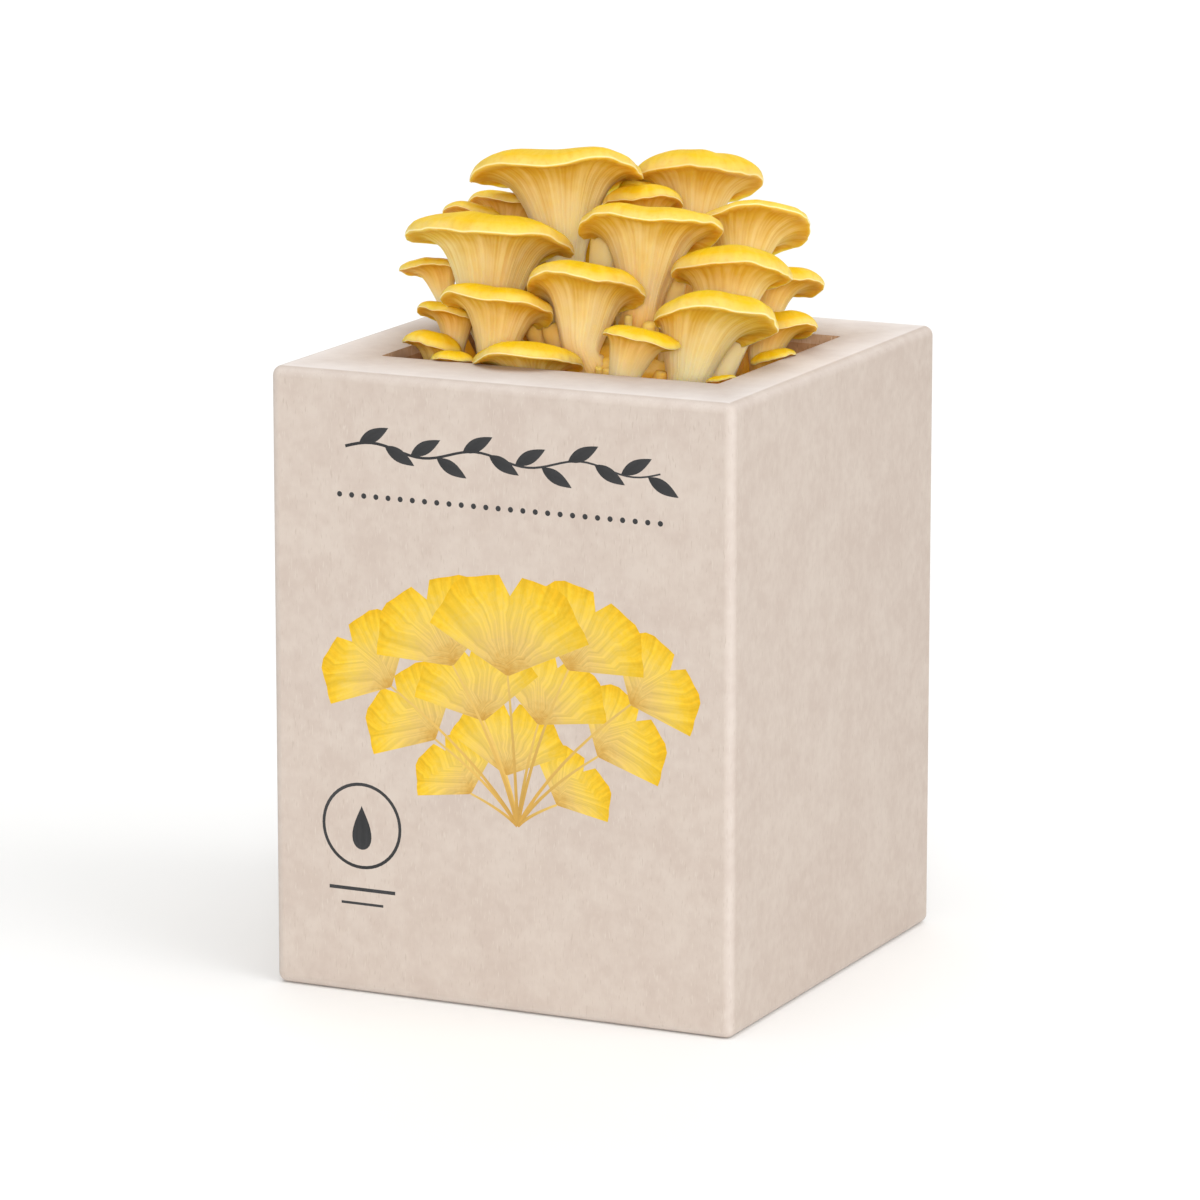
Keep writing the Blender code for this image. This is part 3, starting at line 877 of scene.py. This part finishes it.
def smooth_along(rings, marks, steps):
    """More rings between the given ones, on curves through them. Returns the rings and
    their marks."""
    gaps = [np.linalg.norm(b - a, axis=1).mean() for a, b in zip(rings, rings[1:])]
    slants = [(b - a) / gap for a, b, gap in zip(rings, rings[1:], gaps)]
    slopes = [slants[0]]
    for k in range(1, len(gaps)):
        share = gaps[k - 1] / (gaps[k - 1] + gaps[k])
        slopes.append(slants[k - 1] * (1 - share) + slants[k] * share)
    slopes.append(slants[-1])
    fine, fine_marks = [], []
    for k, count in enumerate(steps):
        for j in range(count):
            s = j / count
            fine.append(
                rings[k] * (2 * s**3 - 3 * s**2 + 1)
                + slopes[k] * gaps[k] * (s**3 - 2 * s**2 + s)
                + rings[k + 1] * (3 * s**2 - 2 * s**3)
                + slopes[k + 1] * gaps[k] * (s**3 - s**2)
            )
            fine_marks.append(marks[k] * (1 - s) + marks[k + 1] * s)
    fine.append(rings[-1])
    fine_marks.append(marks[-1])
    return np.array(fine), np.array(fine_marks)


def grid_normals(grid):
    """Outward normals of a grid of rings."""
    round_way = np.roll(grid, -1, 1) - np.roll(grid, 1, 1)
    along = np.gradient(grid, axis=0)
    normals = np.cross(round_way, along)
    return normals / np.maximum(np.linalg.norm(normals, axis=2, keepdims=True), 1e-12)


def swell(marks, *points):
    """A run of values over the marks, through (mark, value) points."""
    return np.interp(marks, *zip(*points))[:, None]


def waves(turns, dice, low, high, fall):
    """A sum of waves round the stem, with from low to high crests, about 1 in size."""
    total = np.zeros_like(turns)
    for crests in range(low, high + 1):
        size = dice.gauss(0, 1) * (low / crests) ** fall
        total += size * np.cos(crests * turns + dice.uniform(0, math.tau))
    return total / max(1e-9, np.abs(total).max())


def shade_from_others(node, rings):
    """The share of directions, from each point of a mushroom, in which others are near: it sets
    the painted shade.
    """
    others = solid_tree("cluster_base", *(name for name in mushroom_nodes if name != node))
    looks = []
    for number in range(LOOKS):
        rise = 1 - 2 * (number + 0.5) / LOOKS
        turn = number * math.pi * (3 - math.sqrt(5))
        flat = math.sqrt(1 - rise * rise)
        looks.append(Vector((flat * math.cos(turn), flat * math.sin(turn), rise)) * LOOK_SPREAD)
    shares = []
    for k, ring in enumerate(rings):
        row = []
        for j, point in enumerate(ring):
            along = Vector(rings[min(k + 1, len(rings) - 1)][j] - rings[max(k - 1, 0)][j])
            beside = Vector(ring[(j + 1) % len(ring)] - ring[j - 1])
            out = beside.cross(along).normalized()
            start = Vector(point) + out * LOOK_FROM
            ways = [(out + look).normalized() for look in looks]
            hits = sum(others.ray_cast(start, way, NEAR)[0] is not None for way in ways)
            row.append(hits / LOOKS)
        shares.append(np.array(row))
    return shares


def grow(node, seed):
    """One mushroom's fine skin: its rings, their marks, how far down each point lies between
    gills, which is drawn as painted shade, the middle of the cap, the number of gills, and how
    golden each point is, which is partly painted shade."""
    dice = random.Random(seed)
    coarse, middle = grown_rings[node]
    margin = coarse[MARGIN_RING]
    half_width = radius_of(margin)
    size = half_width / WIDE
    gills = round(math.tau * half_width / GILL_PITCH / len(GILLS)) * len(GILLS)
    count = gills * GILL_SAMPLES
    rings = [smooth_round(ring, count) for ring in coarse]
    rings.append(np.repeat(middle[None, :], count, 0))
    grid, marks = smooth_along(rings, RING_MARKS, STEM_STEPS + GILL_STEPS + CAP_STEPS)
    grid, marks = grid[:-1], marks[:-1]
    turns = np.arange(count) / count * math.tau

    def relief(low, high, fall, *points):
        """Waves round the mushroom, as strong along its skin as the points say."""
        return waves(turns, dice, low, high, fall)[None, :] * swell(marks, *points)

    folds = relief(4, 9, 0.6, (0, 0), (0.8, 0.3), (1.4, 1), (1.9, 0)) * FOLDS * size
    grid = grid + grid_normals(grid) * folds[..., None]
    upright = middle - margin.mean(0)
    upright /= np.linalg.norm(upright)
    lively = min(1.2, size + 0.25)
    ripple = relief(6, 20, 1.0, *NEAR_MARGIN) * RIPPLE * lively
    # The side of the margin that is turned from the light hangs a little lower.
    from_light = (margin - margin.mean(0)) @ FAR_SIDE / half_width
    droop = np.clip(smooth_round(from_light[:, None], count)[:, 0] + DROOP_FROM, 0, 1)[None, :]
    droop = droop * DROOP * size * swell(marks, *NEAR_MARGIN)
    grid = grid + upright * (ripple - droop)[..., None]
    outward = grid - grid.mean(1, keepdims=True)
    outward /= np.maximum(np.linalg.norm(outward, axis=2, keepdims=True), 1e-9)
    reach = relief(9, 30, 0.8, *NEAR_MARGIN) * REACH * lively
    grid = grid + outward * reach[..., None]

    # Gills: every fourth one runs down the stem, and the others end on the way.
    edge = np.zeros((len(marks), count))
    for g in range(gills):
        end, strength = GILLS[g % len(GILLS)]
        end += dice.uniform(-0.16, 0.16)
        strength *= dice.uniform(0.5, 1.2)
        # It rises from its end, and runs out just before the margin.
        rise = np.interp(marks, (end - 0.25, end + 0.2, 1.6, 1.88, 1.985), (0, 0.85, 1, 0.55, 0))
        for k in range(-2, 3):
            edge[:, (g * GILL_SAMPLES + k) % count] += rise * strength * GILL_SECTION[abs(k)]
    # The grooves between gills are drawn as painted shade, on the gills only and most just under
    # the margin.
    shown = swell(marks, (0.8, 0), (1.15, 0.2), (1.5, 0.85), (1.8, 1), (1.95, 0))
    gill_shade = np.clip(0.5 - 0.5 * edge, 0, 1) * shown
    height = edge * GILL_RISE * (0.45 + 0.55 * size)
    height += relief(11, 40, 0.3, (0, 1), (1.1, 1), (1.5, 0)) * FIBRES
    height += relief(3, 9, 0.6, (2.05, 0), (2.35, 1), (2.7, 0)) * DENTS * size
    height += relief(2, 5, 0.6, (2.3, 0), (2.7, 1), (2.95, 0)) * DENTS * size
    grid = grid + grid_normals(grid) * height[..., None]

    young = min(1, max(0, (YOUNG_FROM - size) / (YOUNG_FROM - YOUNG_FULL)))
    gold_and_painted_shade = young * YOUNG_GOLD * swell(marks, (0.9, 0.25), (1.4, 1))
    # Painted shade: flesh is drawn more golden where others stand near.
    if node not in NO_PAINTED_SHADE:
        shares = [smooth_round(row, count) for row in shade_from_others(node, coarse)]
        shares = np.array(shares + shares[-1:]).T
        painted_shade = np.array([np.interp(marks, RING_MARKS, column) for column in shares]).T
        painted_shade = np.clip((painted_shade - PAINTED_SHADE_FROM) / (PAINTED_SHADE_FULL - PAINTED_SHADE_FROM), 0, 1)
        gold_and_painted_shade = np.maximum(gold_and_painted_shade, painted_shade * swell(marks, (0.6, 1), (1, 0.55), (1.3, 0.1), (2, 0)))
    # Painted shade on the feet of some.
    foot_painted_shade = FEET_PAINTED_SHADE.get(node, 0) * swell(marks, (0.5, 1), (0.9, 0.5), (1.2, 0))
    gold_and_painted_shade = np.maximum(gold_and_painted_shade, foot_painted_shade)

    # One more ring at the foot, sunk into the base.
    grid = np.concatenate([grid[:1] - (0, 0, FOOT_DEPTH), grid])
    gill_shade, gold_and_painted_shade = (np.concatenate([rows[:1], rows]) for rows in (gill_shade, gold_and_painted_shade))
    marks = np.array([FOOT_MARK, *marks, RING_MARKS[-1]])
    return grid, marks, gill_shade, middle, gills, gold_and_painted_shade


def skin_mesh(name, skins):
    """A mesh from skins, each a grid of rings that is closed at foot and middle."""
    vertices, faces, corners = [], [], []
    painted = {"along": [], "gill_shade": [], "gold_and_painted_shade": []}
    for grid, marks, gill_shade, middle, gills, gold_and_painted_shade in skins:
        rows, count = grid.shape[:2]
        first = len(vertices)
        last, heel, pole = (first + rows * count + k for k in (-count, 0, 1))
        vertices += [*grid.reshape(-1, 3).tolist(), tuple(grid[0].mean(0)), tuple(middle)]
        across = [j / count * gills for j in range(count + 1)]
        for i in range(rows - 1):
            low, high = first + i * count, first + (i + 1) * count
            for j in range(count):
                k = (j + 1) % count
                faces.append((low + j, low + k, high + k, high + j))
                a, b = across[j], across[j + 1]
                corners += [a, marks[i], b, marks[i], b, marks[i + 1], a, marks[i + 1]]
        for j in range(count):
            k = (j + 1) % count
            a, b = across[j], across[j + 1]
            faces += [(first + k, first + j, heel), (last + j, last + k, pole)]
            corners += [b, marks[0], a, marks[0], (a + b) / 2, marks[0]]
            corners += [a, marks[-2], b, marks[-2], (a + b) / 2, marks[-1]]
        painted["along"] += [*np.repeat(marks[:-1], count), marks[0], marks[-1]]
        for kind, values in (("gill_shade", gill_shade), ("gold_and_painted_shade", gold_and_painted_shade)):
            painted[kind] += [*np.broadcast_to(values, (rows, count)).reshape(-1), 0, 0]
    mesh = bpy.data.meshes.new(name)
    mesh.from_pydata(vertices, [], faces)
    mesh.shade_smooth()
    mesh.uv_layers.new(name="grown").uv.foreach_set("vector", corners)
    for kind, values in painted.items():
        mesh.attributes.new(kind, "FLOAT", "POINT").data.foreach_set("value", values)
    return mesh


def mushroom_flesh():
    """Fresh golden oyster: a smooth, faintly waxy yellow cap, cream to buff gills and a
    cream stem. The flesh is wet and thin, so light gets into it and comes out warmer."""
    made, tree, place = new_material(
        "fresh oyster mushroom flesh", 0.55, 1.4, 0.12,
        weight=0.8, radius=(0.85, 0.74, 0.25), scale=4 * MM,
    )
    along, groove_shade, gold_and_painted_shade = (
        add(tree, "Attribute", {}, "Fac", attribute_name=kind)
        for kind in ("along", "gill_shade", "gold_and_painted_shade")
    )
    drawn = add(tree, "UVMap", {}, uv_map="grown")
    # Streaks along the gills and over the cap, a few gills wide, and finer lines.
    streaks, lines = (
        add(tree, "TexNoise", {
            "Vector": add(tree, "Mapping", {"Vector": drawn, "Scale": scale}),
            "Scale": 1, "Detail": detail,
        })
        for scale, detail in (((0.6, 0.8, 1), 4), ((2.4, 1.5, 1), 2))
    )
    patch_width = 9 * MM
    speck_width = 1.6 * MM
    grain_width = 0.5 * MM
    patches, specks, grain = (
        add(tree, "TexNoise", {"Vector": place, "Scale": 1 / width, "Detail": detail})
        for width, detail in ((patch_width, 2), (speck_width, 3), (grain_width, 2))
    )
    uneven = add(tree, "Math", (streaks, patches), operation="ADD")
    shift = add(tree, "MapRange", (uneven, 0.7, 1.3, -0.16, 0.16))
    moved = add(tree, "Math", (along, shift), operation="ADD")
    # Stem and gills, by their place along the skin: 0 is the foot, and 1 the cap's middle.
    third = add(tree, "Math", (moved, 3.0), operation="DIVIDE")
    # Just under the margin the gills are drawn a darker golden: partly their own tone, partly
    # painted shade under the cap.
    skin = add(tree, "ValToRGB", {"Fac": third}, stops=(
        (0.0, "#F6DA90"), (0.12, "#FFECBC"), (0.33, "#FFEFC2"), (0.45, "#F8E29A"),
        (0.56, "#E8C450"), (0.62, "#DEB02E"), (0.65, "#E6C254"),
    ))
    cap_shift = add(tree, "Math", (patches, 0.22, along), operation="MULTIPLY_ADD")
    cap_place = add(tree, "MapRange", (cap_shift, 2.11, 3.11))
    cap = add(tree, "ValToRGB", {"Fac": cap_place}, stops=(
        (0.0, "#E6CA7A"), (0.09, "#E2C054"), (0.19, "#E6BA14"), (0.5, "#E4B602"),
        (1.0, "#DCAA03"),
    ))
    # Thin fibres run over the cap from its middle, which is a little paler.
    fibrous = add(tree, "MapRange", (streaks, 0.44, 0.66, 0, 0.28))
    paler = add(tree, "MapRange", (moved, 2.66, 3.1, 0, 0.30), interpolation_type="SMOOTHSTEP")
    pale = add(tree, "Math", (fibrous, paler), operation="ADD")
    speckled = add(tree, "MapRange", (specks, 0.50, 0.72, 0, 0.28))
    for share, hexed in ((pale, "#F2D560"), (speckled, "#DDA406")):
        cap = add(tree, "Mix", {0: share, 6: cap, 7: colour(hexed)}, 2, data_type="RGBA")
    exact = add(tree, "Math", (along, 3.0), operation="DIVIDE")
    on_cap = add(tree, "MapRange", (exact, 0.664, 0.680), interpolation_type="SMOOTHSTEP")
    lip = add(tree, "ValToRGB", {"Fac": exact}, stops=(
        (0.657, "#000000"), (0.664, "#FFFFFF"), (0.667, "#FFFFFF"), (0.674, "#000000"),
    ))
    # Painted shade: the grooves between gills are drawn darker golden, in streaks.
    streaked = add(tree, "MapRange", (streaks, 0.42, 0.62, 0.1, 0.8))
    shade = add(tree, "Math", (groove_shade, streaked), operation="MULTIPLY")
    # The golden tone multiplied in here is partly the flesh's own and partly painted shade.
    for share, over, blend in (
        (shade, colour("#CC8E12"), "MIX"), (gold_and_painted_shade, colour("#EFC042"), "MULTIPLY"),
        (on_cap, cap, "MIX"), (lip, colour("#FBE9B4"), "MIX"),
    ):
        layers = {0: share, 6: skin, 7: over}
        skin = add(tree, "Mix", layers, 2, data_type="RGBA", blend_type=blend)
    height = add(tree, "Math", (grain, lines), operation="ADD")
    return finish_material(made, skin, height, 0.25, 0.10 * MM)


flesh = mushroom_flesh()
for seed, node in enumerate(mushroom_nodes, start=11):
    grown = new_piece(skin_mesh(node.replace("mushroom", "oyster"), [grow(node, seed)]), flesh)
    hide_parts(node)


# ----------------------------------------------------------
# Buds: young mushrooms of the same flesh between the stems. Most have stopped growing
# under the large ones, with round little caps that haven't opened.
# ----------------------------------------------------------

CLUSTER_TURN = math.radians(25.4)  # of the cluster's own axes, across and back
# Buds that show in the photograph: foot and head in mm (across, back, height of the
# head), the radius of stem and head, how golden the stem is, 0 to 1, and whether it has a
# cap.
SEEN_BUDS = (
    ((-13.5, -11), (-17, -9, 196), 2.7, 3.5, 0.6, False),
    ((-19.5, -5), (-22, -4, 195), 2.8, 3.6, 0.7, False),
    ((28, -29.5), (41.5, -14.5, 201), 4.8, 4.9, 0.2, False),
    ((-0.5, -37), (0.4, -39, 187.5), 1.5, 2.2, 0.6, False),
    ((13, -38), (15.5, -40, 187), 1.5, 2.3, 0.6, False),
    ((-3, 8), (-0.3, 8, 223), 3.6, 4.4, 0.1, False),
    ((16, 3), (20.5, 5, 209), 2.6, 3.4, 0.3, False),
    ((3, 30), (9, 32, 233), 3.4, 6.8, 0.3, True),
)
SEEN_BEND = 0.15  # how far their stems bow, over their length
SEEN_DEPTH = 2 * MM  # of their feet in the base
# The others: tries, how far out they stand, and their sizes.
BUD_SEED = 21
BUD_TRIES = 700
BUD_SPREAD = 50 * MM
BUD_STEM = (0.8, 1.7)  # in mm
BUD_HEAD = (1.15, 1.7)  # over the stem
BUD_HEIGHT = (4 * MM, 14 * MM, 7 * MM)  # least, most and usual
BUD_LEAN = 0.4  # at the most, over the height
BUD_BEND = 0.35
BUD_DEPTH = 1 * MM
BUD_CLEAR = 1.1  # of the mushrooms, over the bud's own radius
BUD_GOLD = 0.35
# A bud's rings: mark along the skin, height over the whole, and radius between that of
# the stem (0) and of the head (1), with more below 0 for the foot's spread.
BUD_RINGS = (
    (-0.05, -0.10, -0.35), (0.0, 0.02, -0.15), (0.4, 0.30, 0.0), (0.8, 0.50, 0.05),
    (1.0, 0.64, 0.25), (1.12, 0.74, 0.62), (1.2, 0.81, 0.92), (1.3, 0.86, 1.0),
    (1.37, 0.91, 0.90), (1.42, 0.955, 0.68), (1.45, 0.985, 0.40), (1.48, 0.997, 0.16),
)
BUD_ROUND = 14
BUD_TIP = 1.5  # the mark of its tip, which is still as pale as the gills
# The head of one that has a cap: mark, depth under its top in radii of the cap, and
# radius as above. It stands on the first rings of BUD_RINGS.
CAPPED_STEM = BUD_RINGS[:3]
CAPPED_HEAD = (
    (0.9, 2.1, 0.02), (1.15, 1.6, 0.12), (1.4, 1.2, 0.32), (1.65, 0.95, 0.6),
    (1.88, 0.78, 0.88), (2.0, 0.68, 0.99), (2.08, 0.58, 1.0), (2.2, 0.42, 0.95),
    (2.4, 0.26, 0.80), (2.6, 0.14, 0.60), (2.8, 0.05, 0.36), (2.93, 0.01, 0.15),
)
CAPPED_ROUND = 32
BUD_GILLS = 6
every_mushroom = solid_tree(*mushroom_nodes)


def bud(foot, head, stem, cap, gold_and_painted_shade, dice, bent=BUD_BEND, capped=False):
    """A bud's skin: it leaves its foot upright and bends over to its head."""
    reach = head - foot
    bend = Vector((0, 0, reach.length * bent))
    grid, marks = [], []
    # The last draw isn't used, and keeps the draws after it as they are.
    two, three, _ = (dice.uniform(0, math.tau) for _ in range(3))
    rings, steps, tip = BUD_RINGS, BUD_ROUND, BUD_TIP
    if capped:
        top = [(m, 1 - depth * cap / reach.length, r) for m, depth, r in CAPPED_HEAD]
        rings, steps, tip = [*CAPPED_STEM, *top], CAPPED_ROUND, RING_MARKS[-1]
    for mark, height, spread in rings:
        s = max(0, height)
        place = foot + bend * 2 * s * (1 - s) + reach * s**2
        way = (bend * 2 * (1 - 2 * s) + reach * 2 * s).normalized()
        if height < 0:
            place = place + Vector((0, 0, height)) * reach.length
        side = way.cross(Vector((0.3, 1, 0))).normalized()
        ahead = side.cross(way)
        radius = stem + (cap - stem) * spread if spread >= 0 else stem * (1 - spread)
        ring = []
        for j in range(steps):
            turn = -math.tau * j / steps
            uneven = 1 + 0.07 * math.cos(2 * turn + two) + 0.05 * math.cos(3 * turn + three)
            out = side * math.cos(turn) + ahead * math.sin(turn)
            ring.append(tuple(place + out * radius * uneven))
        grid.append(ring)
        marks.append(mark)
    return np.array(grid), np.array([*marks, tip]), 0, tuple(head), BUD_GILLS, gold_and_painted_shade


def grow_buds():
    """The buds that the photograph shows, and others wherever the cluster leaves room."""
    dice = random.Random(BUD_SEED)
    across = heading(CLUSTER_TURN) * MM
    back = Vector((-across.y, across.x, 0))
    buds, taken = [], []
    for (fa, fb), (ha, hb, height), stem, cap, gold_and_painted_shade, capped in SEEN_BUDS:
        foot = across * fa + back * fb
        foot.z = knot_height(foot.x, foot.y)[0] - SEEN_DEPTH
        head = across * ha + back * hb + Vector((0, 0, height * MM))
        buds.append(bud(foot, head, stem * MM, cap * MM, gold_and_painted_shade, dice, SEEN_BEND, capped))
        taken.append((foot, cap * MM))
    for _ in range(BUD_TRIES):
        turn, away = dice.uniform(0, math.tau), BUD_SPREAD * math.sqrt(dice.random())
        foot = heading(turn) * away
        stem = dice.uniform(*BUD_STEM) * MM
        cap = stem * dice.uniform(*BUD_HEAD)
        tall = dice.triangular(*BUD_HEIGHT)
        lean = heading(turn) * tall * dice.uniform(0.0, BUD_LEAN)
        foot.z = knot_height(foot.x, foot.y)[0] - BUD_DEPTH
        near = min(math.hypot(foot.x - f.x, foot.y - f.y) - r for f, r in feet)
        beside = min((foot - f).to_2d().length - r for f, r in taken)
        if near < stem or beside < cap:
            continue
        head = foot + lean + Vector((0, 0, tall))
        clear = ((0.5, stem), (0.75, cap), (1, cap))
        if any(
            every_mushroom.find_nearest(foot.lerp(head, share), radius * BUD_CLEAR)[0] is not None
            for share, radius in clear
        ):
            continue
        buds.append(bud(foot, head, stem, cap, BUD_GOLD, dice))
        taken.append((foot, cap))
    return buds


buds = new_piece(skin_mesh("buds", grow_buds()), flesh)


# ----------------------------------------------------------
# Studio: a pale floor, soft light from all round, and the photograph's point of view.
# ----------------------------------------------------------

FLOOR_HALF = 6  # in metres
# Each light: azimuth from the front, elevation, strength, and how wide it looks, in degrees.
LIGHTS = {
    "front": (24, 12, 1.45, 16),
    "side": (85, 34, 0.85, 50),
    "top": (20, 80, 1.2, 60),
    "back": (205, 30, 0.5, 60),
}
AROUND = 0.42  # strength of the light from all round
# The camera stands where a fit to the carton's corners in the photograph puts it.
VIEW_AZIMUTH = 25.4
VIEW_ELEVATION = 12.1
VIEW_DISTANCE = 1.966
VIEW_TARGET = Vector((-0.0023, -0.0011, 0.1098))
LENS = 195.1


def put(name, data, azimuth, elevation):
    """A light or camera that looks back along the way to it, and that way."""
    a, e = math.radians(azimuth), math.radians(elevation)
    way = Vector((math.sin(a) * math.cos(e), -math.cos(a) * math.cos(e), math.sin(e)))
    held = bpy.data.objects.new(name, data)
    held.rotation_euler = way.to_track_quat("Z", "Y").to_euler()
    bpy.context.scene.collection.objects.link(held)
    return held, way


plain = bmesh.new()
bmesh.ops.create_grid(plain, x_segments=1, y_segments=1, size=FLOOR_HALF)
floor_mesh = finish_mesh("floor", plain, smooth=False)
floor_paint = bpy.data.materials.new("pale matt floor")
floor_paint.use_nodes = True
matt = {"Base Color": colour("#FAFAF9"), "Roughness": 0.9}
wire(floor_paint.node_tree.nodes["Principled BSDF"], matt)
floor_mesh.materials.append(floor_paint)
floor = bpy.data.objects.new("floor", floor_mesh)
bpy.context.scene.collection.objects.link(floor)

world = bpy.data.worlds.new("studio")
world.use_nodes = True
wire(world.node_tree.nodes["Background"], {"Color": colour("#FFFFFF"), "Strength": AROUND})
bpy.context.scene.world = world

for name, (azimuth, elevation, strength, width) in LIGHTS.items():
    lamp = bpy.data.lights.new(name, "SUN")
    lamp.energy = strength
    lamp.angle = math.radians(width)
    put(name, lamp, azimuth, elevation)

camera_data = bpy.data.cameras.new("camera")
camera_data.lens = LENS
camera_data.sensor_width = 36
camera_data.clip_end = 20
camera, way = put("camera", camera_data, VIEW_AZIMUTH, VIEW_ELEVATION)
camera.location = VIEW_TARGET + way * VIEW_DISTANCE
bpy.context.scene.camera = camera
bpy.context.scene.view_settings.view_transform = "Standard"
